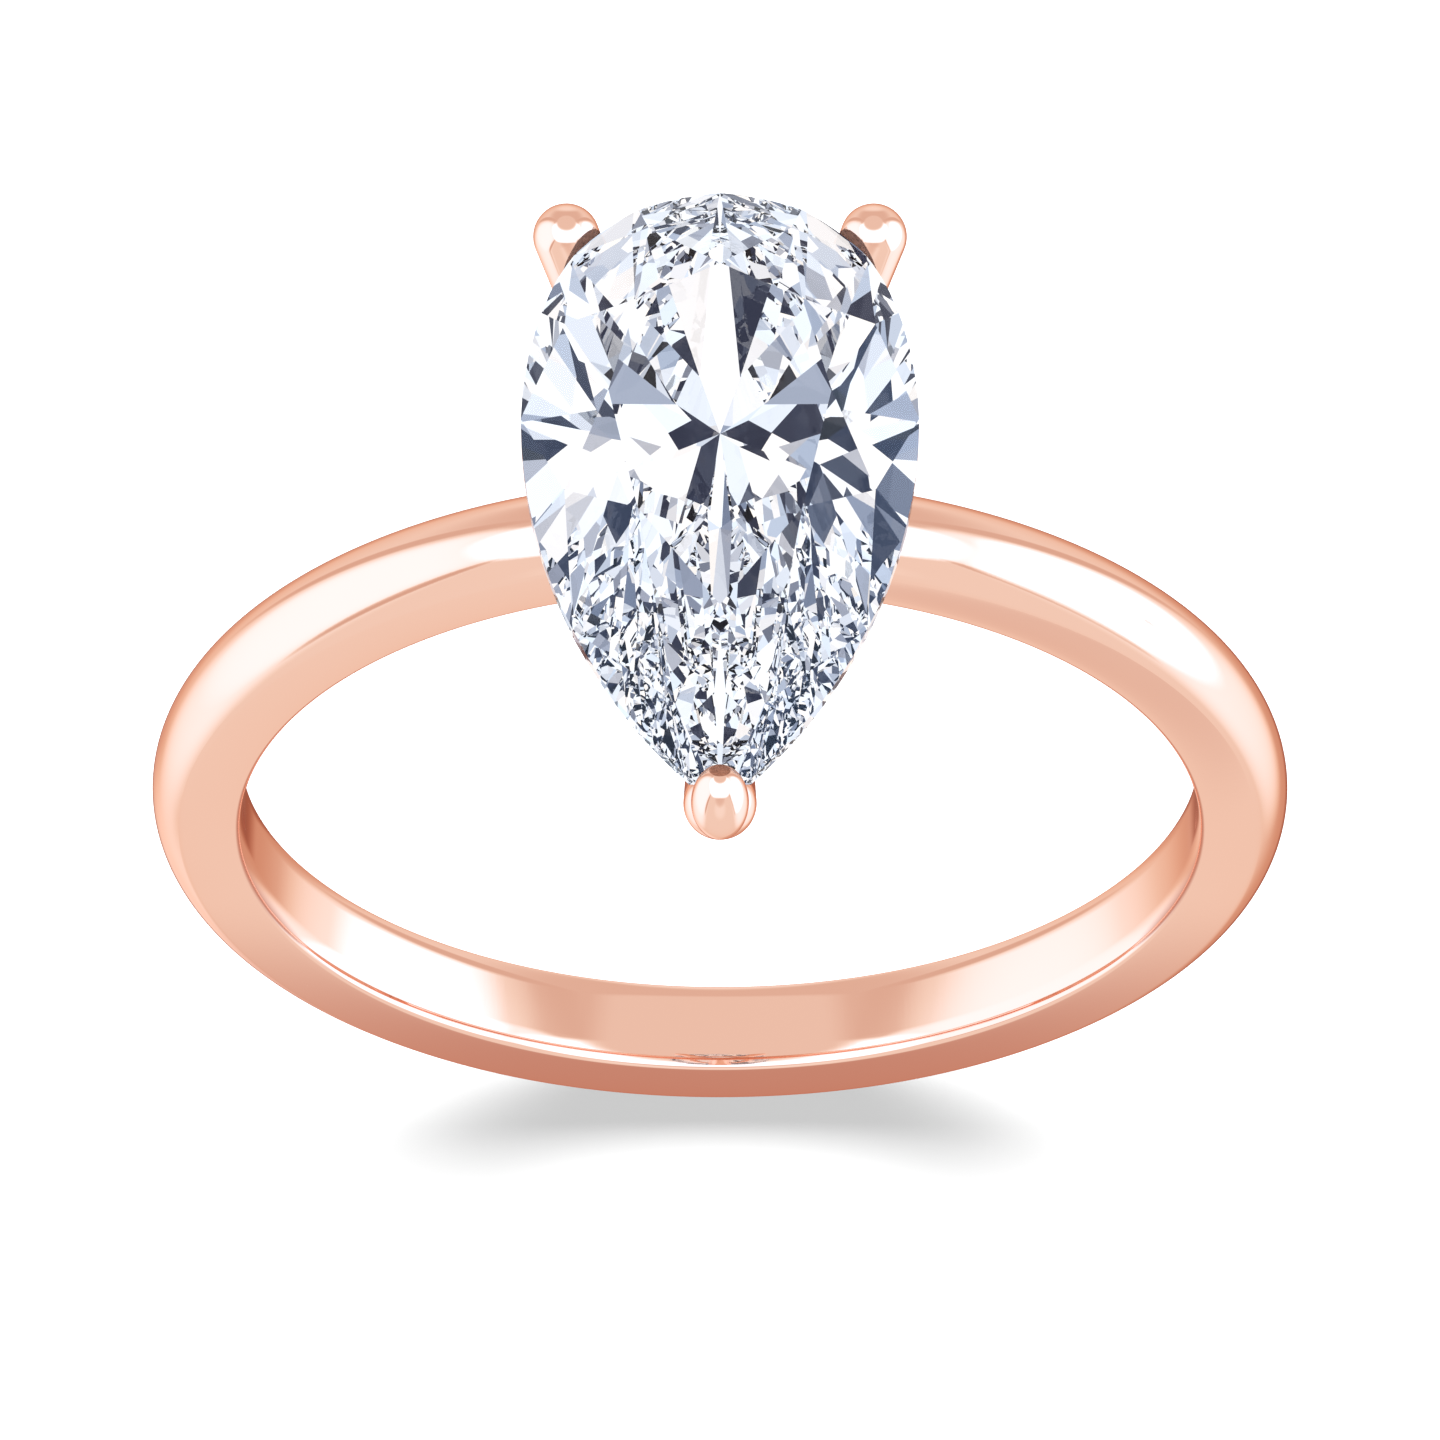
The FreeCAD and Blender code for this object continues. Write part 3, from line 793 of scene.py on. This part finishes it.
def tip_stem_form(front):
    """Curved stem that thickens on its way forward and ends round."""
    sizes = bpy.context.scene.ring_claws
    foot = BASE_HIGH.z - sizes.tip_foot_drop
    rise = girdle_level() - sizes.tip_drop - foot
    bend = (front ** 2 + rise ** 2) / (2 * rise)
    slope = math.asin(front / bend)
    bm = bmesh.new()
    bmesh.ops.create_circle(
        bm, cap_ends=True, segments=72, radius=sizes.foot,
        matrix=Matrix.Translation((0, 0, foot)) @ Matrix.Rotation(QUARTER, 4, "X"))
    ring = bm.edges[:]
    centre = Vector((0, 0, foot))
    pivot = Vector((0, 0, foot + bend))
    steps = 40
    grow = (sizes.tip_radius / sizes.foot) ** (1 / steps)
    swing = Matrix.Rotation(-slope / steps, 4, "X")
    for step in range(steps):
        ring, verts = next_ring(bm, ring)
        bmesh.ops.rotate(bm, verts=verts, cent=pivot, matrix=swing.to_3x3())
        centre = pivot + swing.to_3x3() @ (centre - pivot)
        bmesh.ops.scale(
            bm, verts=verts, vec=(grow, grow, grow), space=Matrix.Translation(-centre))
    ahead = Vector((0, -math.cos(slope), math.sin(slope)))
    rounds = 20
    for step in range(1, rounds):
        before, after = ((QUARTER * number / rounds) for number in (step - 1, step))
        shrink = math.cos(after) / math.cos(before)
        move = ahead * sizes.tip_radius * (math.sin(after) - math.sin(before))
        ring, verts = next_ring(bm, ring)
        bmesh.ops.scale(
            bm, verts=verts, vec=(shrink,) * 3, space=Matrix.Translation(-centre))
        bmesh.ops.translate(bm, verts=verts, vec=move)
        centre = centre + move
    bmesh.ops.edgeloop_fill(bm, edges=ring)
    return tidy(bm)


def tip_claw_form():
    """Point stem with its bead folded over the stone and trimmed at the upper end."""
    sizes = bpy.context.scene.ring_claws
    front = -STONE_LOW.y - sizes.tip_inset
    bm = tip_stem_form(front)
    bead = bmesh.new()
    lift = girdle_level() + sizes.bead_lift
    place = (Matrix.Translation((0, -front - sizes.bead_front, lift))
             @ Matrix.Rotation(-math.radians(sizes.bead_lean), 4, "X")
             @ Matrix.Diagonal((sizes.bead_radius, sizes.bead_radius, sizes.bead_reach, 1)))
    bmesh.ops.create_uvsphere(
        bead, u_segments=72, v_segments=48, radius=1.0, matrix=place)
    carve(bm, bead, "UNION")
    face = grind(bm, place @ Vector((0, 0, sizes.bead_trim)), place.col[2].xyz.normalized())
    # The trimmed end of the bead takes the seat material, a spot of painted shade.
    face.material_index = SEAT_SLOT
    return bm


def next_ring(bm, ring):
    """Open ring of edges extruded in place; returns the new edges and their vertices."""
    made = bmesh.ops.extrude_edge_only(bm, edges=ring)["geom"]
    verts = verts_of(made)
    return [edge for edge in edges_of(made) if all(v in verts for v in edge.verts)], verts


def seated(bm):
    """Claw blank fitted to the shank, the base and the rail, with its seat cut."""
    gap = bpy.context.scene.ring_claws.seat_gap
    cap = shank_form()
    bmesh.ops.bisect_plane(
        cap, geom=whole(cap), dist=1e-6, plane_co=(0, 0, CAP_START), plane_no=(0, 0, -1),
        clear_outer=True)
    bmesh.ops.holes_fill(cap, edges=[each for each in cap.edges if each.is_boundary])
    carve(bm, cap)
    carve(bm, base_form())
    carve(bm, rail_form())
    # The faces cut by the stone take the seat material, dark with painted shade.
    return carve(bm, stone_form(gap), slot=SEAT_SLOT)


def girdle_wall():
    """Cutter for the upright wall of a side claw's seat, beside and above the girdle."""
    stone = bpy.context.scene.ring_stone
    low = STONE_HIGH.z - stone.crown - stone.girdle
    return pear_block(low, STONE_HIGH.z + 1, bpy.context.scene.ring_claws.seat_gap)


# ---------------------------------------------------------------- operators

class RING_OT_shank(bpy.types.Operator):
    """Turn the shank and drill it for the peg"""
    bl_idname = "ring.shank"
    bl_label = "Shank"

    def execute(self, context):
        head = context.scene.ring_head
        bm = shank_form()
        carve(bm, rod_form(head.peg_radius + head.seam, DRILL_START, SHANK_HIGH.z + 1))
        make_piece(bm, "band", "shank", [gold()], ["shank"])
        return {"FINISHED"}


class RING_OT_peg(bpy.types.Operator):
    """Dress the peg flush with the finger hole"""
    bl_idname = "ring.peg"
    bl_label = "Peg"

    def execute(self, context):
        head = context.scene.ring_head
        bm = rod_form(head.peg_radius, DRILL_START, PEG_HIGH.z)
        carve(bm, finger_form(context.scene.ring_shank.finger_radius))
        make_piece(bm, "peg", "head", [gold()], ["head_peg"])
        return {"FINISHED"}


class RING_OT_base(bpy.types.Operator):
    """Fit the head base to the crown of the shank"""
    bl_idname = "ring.base"
    bl_label = "Head base"

    def execute(self, context):
        bm = base_form()
        carve(bm, shank_form())
        carve(bm, rod_form(context.scene.ring_head.peg_radius, DRILL_START, PEG_HIGH.z))
        make_piece(bm, "base", "head", [gold()], ["head_base"])
        return {"FINISHED"}


class RING_OT_rail(bpy.types.Operator):
    """Bend the gallery rail"""
    bl_idname = "ring.rail"
    bl_label = "Gallery rail"

    def execute(self, context):
        make_piece(rail_form(), "rail", "head", [gold()], ["gallery_rail"])
        return {"FINISHED"}


class RING_OT_side_claws(bpy.types.Operator):
    """Make the two claws at the round end"""
    bl_idname = "ring.side_claws"
    bl_label = "Side claws"

    def execute(self, context):
        for name, sign in (("left", -1), ("right", 1)):
            bm = seated(side_claw_form(sign))
            # The seat's upright wall takes the seat material too, dark with painted shade.
            carve(bm, girdle_wall(), slot=SEAT_SLOT)
            make_piece(bm, "claw_" + name, "claws", [gold(), seat()], ["prong_" + name])
        return {"FINISHED"}


class RING_OT_tip_claw(bpy.types.Operator):
    """Make the claw at the stone's point"""
    bl_idname = "ring.tip_claw"
    bl_label = "Point claw"

    def execute(self, context):
        bm = seated(tip_claw_form())
        make_piece(bm, "claw_tip", "claws", [gold(), seat()], ["prong_tip"])
        return {"FINISHED"}


class RING_OT_stone(bpy.types.Operator):
    """Grind the stone"""
    bl_idname = "ring.stone"
    bl_label = "Stone"

    def execute(self, context):
        material = kept("pear_stone", stone_material, context.scene.ring_stone_look)
        make_piece(stone_form(), "pear", "stone", [material], ["stone"], smooth=False)
        return {"FINISHED"}


# ---------------------------------------------------------------- stage

def aimed(thing, place, target=(0, 0, 0)):
    """Object put at a place and turned to face the target along its -Z."""
    thing.location = place
    ahead = Vector(target) - Vector(place)
    thing.rotation_euler = ahead.to_track_quat("-Z", "Y").to_euler()
    bpy.context.scene.collection.objects.link(thing)
    return thing


def around(azimuth, elevation, distance):
    """Place in metres seen from the ring: azimuth 0 is in front, 90 to the right."""
    a, e = math.radians(azimuth), math.radians(elevation)
    return Vector((math.sin(a) * math.cos(e), -math.cos(a) * math.cos(e),
                   math.sin(e))) * distance


def soft_light(name, place, width, height, watts):
    """Rectangular soft box that lights the floor and shows in no reflection."""
    lamp = bpy.data.lights.new(name, "AREA")
    lamp.shape = "RECTANGLE"
    lamp.size, lamp.size_y = width, height
    lamp.energy = watts
    holder = aimed(bpy.data.objects.new(name, lamp), place)
    holder.visible_camera = False
    holder.visible_glossy = False
    holder.visible_transmission = False
    return holder


class Studio(Finish):
    """Glowing paint of a studio wall, set out by direction from the ring."""

    def __init__(self, name):
        super().__init__(bpy.data.materials.new(name))
        place = self.node("ShaderNodeTexCoord", output="Object")
        self.way = self.vector("NORMALIZE", place)
        self.x, self.y, self.z = [
            self.node("ShaderNodeSeparateXYZ", None, [self.way], output=axis)
            for axis in range(3)]

    def vector(self, operation, *values):
        """Vector Math; the dot product comes out of the second socket."""
        output = 1 if operation == "DOT_PRODUCT" else 0
        return self.node("ShaderNodeVectorMath", {"operation": operation}, values, output)

    def fade(self, value, start, end):
        """0 at the start, 1 at the end, smooth between."""
        return self.node(
            "ShaderNodeMapRange", {"interpolation_type": "SMOOTHSTEP"},
            [value, start, end, 0.0, 1.0])

    def flare(self, azimuth, elevation, core, reach):
        """Round soft patch: full inside its core angle, gone at its reach."""
        way = around(azimuth, elevation, 1.0)
        facing = self.vector("DOT_PRODUCT", self.way, way)
        return self.fade(facing, math.cos(math.radians(reach)), math.cos(math.radians(core)))

    def panel(self, across, along, centre, half, edge, power=4.0):
        """Rounded rectangle on two slopes, with an edge that fades over a share of it."""
        spread = None
        for slope, middle, size in zip((across, along), centre, half):
            part = ((slope - middle) / size).maths("ABSOLUTE") ** power
            spread = part if spread is None else spread + part
        return self.fade(spread, 1.0 + edge, 1.0 - edge)

    def finished(self, red, green, blue, cover=1.0):
        """Emission in these amounts; where it covers less than all, the rest is clear."""
        colour = self.node("ShaderNodeCombineColor", None, [red, green, blue])
        glow = self.node("ShaderNodeEmission", None, {"Color": colour, "Strength": 1.0})
        if isinstance(cover, Wire):
            clear = self.node("ShaderNodeBsdfTransparent")
            glow = self.node("ShaderNodeMixShader", None, [cover, clear, glow])
        self.owner.cycles.emission_sampling = "NONE"
        return self.surface(glow)


def over(under, value, mask):
    """One brightness laid over another where the mask says."""
    return under + (value - under) * mask


# What the gold mirrors. Brightness of the room, then round patches in it:
# brightness, azimuth and elevation, core and reach, in degrees.
ROOM = 0.97
PATCHES = (
    (0.74, 165, -61, 3, 46),  # shade low behind, mirrored along the outlines
    (1.15, -110, -72, 6, 25),  # glow low on the left
    (0.4, 174, -60, 2, 20),  # deep middle of the shade
    (0.82, 180, 45, 28, 54),  # dim wall behind
    (1.05, 180, 4, 4, 24),  # light at the level of the ring, behind
    (1.04, 0, 12, 5, 26),  # light at the level of the ring, in front
    (0.86, 0, 38, 6, 24),  # dim patch above it
)
# Panels on each side, on the slopes y/x and z/x: brightness, middle, half size and edge.
SIDE_PANELS = (
    (1.2, (-0.05, -0.1), (0.8, 1.4), 0.8),  # glow round the box
    (1.2, (-0.05, 0.9), (0.72, 0.5), 0.6),  # glow above it
    (0.79, (0.98, 0.4), (0.16, 1.0), 0.7),  # dim strip behind it
    (0.76, (-0.82, 0.3), (0.10, 0.6), 0.7),  # dim strip in front of it
)
# The box itself, right and then left: side, brightness, middle, half size and edge.
SIDE_BOXES = (
    (1, 1.38, (-0.06, 0.22), (0.77, 0.6), 0.7),
    (-1, 1.25, (-0.02, 0.18), (0.68, 0.68), 0.95),
)
LEAST_SLOPE = 0.02  # keeps the slopes finite beside and below the ring
BRIGHTEST = 1.35
GREEN_FALL, BLUE_FALL = 0.95, 1.35  # how fast each falls behind the red in the shade
BLUE_LIFT = 1.9  # how fast the blue catches up in the highlights


def metal_studio():
    """A warm room, side boxes, and an overhead box with a round screen in it."""
    sky = Studio("studio_for_gold")
    glow = ROOM
    for level, azimuth, elevation, core, reach in PATCHES:
        glow = over(glow, level, sky.flare(azimuth, elevation, core, reach))
    for side, level, middle, half, edge in SIDE_BOXES:
        out = (sky.x * side).maths("MAXIMUM", LEAST_SLOPE)
        slope, rise = sky.y / out, sky.z / out
        for panel in SIDE_PANELS:
            glow = over(glow, panel[0], sky.panel(slope, rise, *panel[1:], power=2.0))
        glow = over(glow, level, sky.panel(slope, rise, middle, half, edge))
    up = sky.z.maths("MAXIMUM", LEAST_SLOPE)
    across, along = sky.x / up, sky.y / up
    overhead = sky.panel(across, along, centre=(0, -0.36), half=(1.08, 0.84), edge=0.8)
    screen = sky.panel(across, along, centre=(0, 0.46), half=(0.61, 0.61), edge=0.35, power=2.0)
    glow = over(over(glow, 1.45, overhead), 0.91, screen)
    dim = glow.maths("MINIMUM", 1.0)
    lit = glow.maths("MINIMUM", BRIGHTEST).maths("MAXIMUM", 1.0)
    return sky.finished(
        glow, glow * dim ** GREEN_FALL * lit, glow * dim ** BLUE_FALL * lit ** BLUE_LIFT)


def ground_shade():
    """Painted shade on a sheet at the floor, seen only in the gold's reflections: dark under the
    ring's foot, and fainter ahead on the right.
    """
    sky = Studio("shade_for_gold")
    place = sky.node("ShaderNodeTexCoord", output="Object")
    across, along = [
        sky.node("ShaderNodeSeparateXYZ", None, [place], output=axis) for axis in range(2)]
    foot = sky.panel(
        across, along, centre=(0.0, -0.0016), half=(0.0088, 0.004), edge=1.0, power=2.0)
    ahead = sky.panel(
        across, along, centre=(0.007, -0.0115), half=(0.005, 0.0035), edge=0.9, power=2.0)
    return sky.finished(0.63, 0.39, 0.34, foot.maths("MAXIMUM", ahead * 0.3))


# What the stone gathers: tones of the mosaic, from its bright tiles to its darkest.
STONE_TONES = (
    (0.0, (1.2, 1.2, 1.2, 1)),
    (0.24, (1.06, 1.07, 1.11, 1)),
    (0.42, (0.86, 0.90, 0.99, 1)),
    (0.58, (0.60, 0.65, 0.76, 1)),
    (0.72, (0.28, 0.32, 0.43, 1)),
    (0.80, (0.02, 0.025, 0.05, 1)),
)
MOSAIC_SHIFT = (0.8, -0.6, 0.4)  # picks which tiles lie where
MOSAIC_SCALE = 4.5
WARMTH = 0.08  # most that a tile leans to red or to blue
DARKEST = 0.02  # the dark gap above, where the viewer would be


def stone_studio():
    """Mosaic of bright panels, pale blue greys and a few dark gaps."""
    sky = Studio("studio_for_stone")
    shifted = sky.vector("ADD", sky.way, MOSAIC_SHIFT)
    tiles = sky.node(
        "ShaderNodeTexVoronoi", None, {"Vector": shifted, "Scale": MOSAIC_SCALE},
        output="Color")
    share = sky.node("ShaderNodeSeparateColor", None, [tiles])
    tone = sky.node("ShaderNodeValToRGB", {"stops": STONE_TONES}, [share])
    parts = [sky.node("ShaderNodeSeparateColor", None, [tone], output=each)
             for each in range(3)]
    lean = sky.node("ShaderNodeSeparateColor", None, [tiles], output=1) * (2 * WARMTH) - WARMTH
    gap = sky.flare(-16, 68, core=9, reach=11)
    red, green, blue = [over(part, DARKEST, gap) for part in parts]
    return sky.finished(red * (1.0 + lean), green, blue * (1.0 - lean))


def studio_wall(bm, name, material, metal, glass):
    """Mesh of the studio that only reflections in the metal or light inside the stone can see."""
    wall = placed(bm, name, [material])
    for flag in ("visible_camera", "visible_diffuse", "visible_shadow",
                 "visible_volume_scatter"):
        setattr(wall, flag, False)
    wall.visible_glossy = metal
    wall.visible_transmission = glass


FLOOR_HALF = 2.0  # metres from the ring to the floor's edge
WALL_RADIUS = 0.55
SHADE_RADIUS = 0.0165
BOUNCES = 24  # enough for light to find its way out of the stone


class RING_OT_stage(bpy.types.Operator):
    """Floor, soft lights, studio walls and camera"""
    bl_idname = "ring.stage"
    bl_label = "Stage"

    def execute(self, context):
        scene = context.scene
        studio = scene.ring_studio
        self.floor()
        self.sky(scene, studio)
        self.walls()
        soft_light("behind", around(180, 56, 0.5), width=0.9, height=0.5, watts=12.6)
        self.camera(scene, studio)
        scene.view_settings.view_transform = "Standard"
        for name in ("max_bounces", "glossy_bounces", "transmission_bounces"):
            setattr(scene.cycles, name, BOUNCES)
        return {"FINISHED"}

    def floor(self):
        """Plain pale floor that the gold and the stone don't show."""
        finish = Finish(bpy.data.materials.new("pale_floor"))
        paint = finish.node("ShaderNodeBsdfDiffuse", None, {"Color": (0.5, 0.5, 0.5, 1)})
        bm = bmesh.new()
        bmesh.ops.create_grid(bm, x_segments=1, y_segments=1, size=FLOOR_HALF)
        bmesh.ops.translate(bm, vec=(0, 0, FLOOR_LEVEL * MM), verts=bm.verts)
        floor = placed(bm, "floor", [finish.surface(paint)])
        floor.visible_glossy = False
        floor.visible_transmission = False

    def sky(self, scene, studio):
        """White surroundings."""
        scene.world = bpy.data.worlds.new("studio")
        finish = Finish(scene.world)
        air = finish.node(
            "ShaderNodeBackground", None, {"Color": (1, 1, 1, 1), "Strength": studio.sky})
        finish.node("ShaderNodeOutputWorld", None, {"Surface": air})

    def walls(self):
        """One dome for the gold, one for the stone, and the shade under the ring."""
        for name, material, metal in (("gold_wall", metal_studio(), True),
                                      ("stone_wall", stone_studio(), False)):
            bm = bmesh.new()
            bmesh.ops.create_icosphere(bm, subdivisions=4, radius=WALL_RADIUS)
            studio_wall(bm, name, material, metal, not metal)
        bm = bmesh.new()
        bmesh.ops.create_circle(bm, cap_ends=True, segments=48, radius=SHADE_RADIUS)
        bmesh.ops.translate(bm, vec=(0, 0, FLOOR_LEVEL * MM), verts=bm.verts)
        studio_wall(bm, "foot_shade", ground_shade(), True, False)

    def camera(self, scene, studio):
        """Long lens, level from side to side, looking down at the ring."""
        lens = bpy.data.cameras.new("camera")
        lens.lens = studio.lens
        lens.sensor_width = 36.0
        camera = bpy.data.objects.new("camera", lens)
        scene.collection.objects.link(camera)
        tilt = math.radians(studio.elevation)
        up = Vector((0, math.sin(tilt), math.cos(tilt)))
        back = Vector((0, -math.cos(tilt), math.sin(tilt)))
        distance = studio.span * studio.lens / lens.sensor_width
        camera.location = (up * studio.rise + back * distance) * MM
        camera.rotation_euler = (QUARTER - tilt, 0, 0)
        scene.camera = camera


class RING_PT_panel(bpy.types.Panel):
    """Steps for making the ring"""
    bl_label = "Pear Solitaire Ring"
    bl_idname = "RING_PT_panel"
    bl_space_type = "VIEW_3D"
    bl_region_type = "UI"
    bl_category = "Ring"

    def draw(self, context):
        for step in STEPS:
            self.layout.operator(step.bl_idname)


STEPS = (RING_OT_shank, RING_OT_peg, RING_OT_base, RING_OT_rail, RING_OT_side_claws,
         RING_OT_tip_claw, RING_OT_stone, RING_OT_stage)
GROUPS = {
    "ring_shank": ShankSizes,
    "ring_head": HeadSizes,
    "ring_claws": ClawSizes,
    "ring_stone": StoneSizes,
    "ring_gold": GoldFinish,
    "ring_stone_look": StoneFinish,
    "ring_studio": StudioSetup,
}


def register():
    for group in GROUPS.values():
        bpy.utils.register_class(group)
    for step in (*STEPS, RING_PT_panel):
        bpy.utils.register_class(step)
    for name, group in GROUPS.items():
        setattr(bpy.types.Scene, name, PointerProperty(type=group))


def unregister():
    for name in GROUPS:
        delattr(bpy.types.Scene, name)
    for step in (RING_PT_panel, *reversed(STEPS)):
        bpy.utils.unregister_class(step)
    for group in reversed(tuple(GROUPS.values())):
        bpy.utils.unregister_class(group)


def main():
    register()
    for step in STEPS:
        section, name = step.bl_idname.split(".")
        getattr(getattr(bpy.ops, section), name)()
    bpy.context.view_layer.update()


if __name__ == "__main__":
    main()
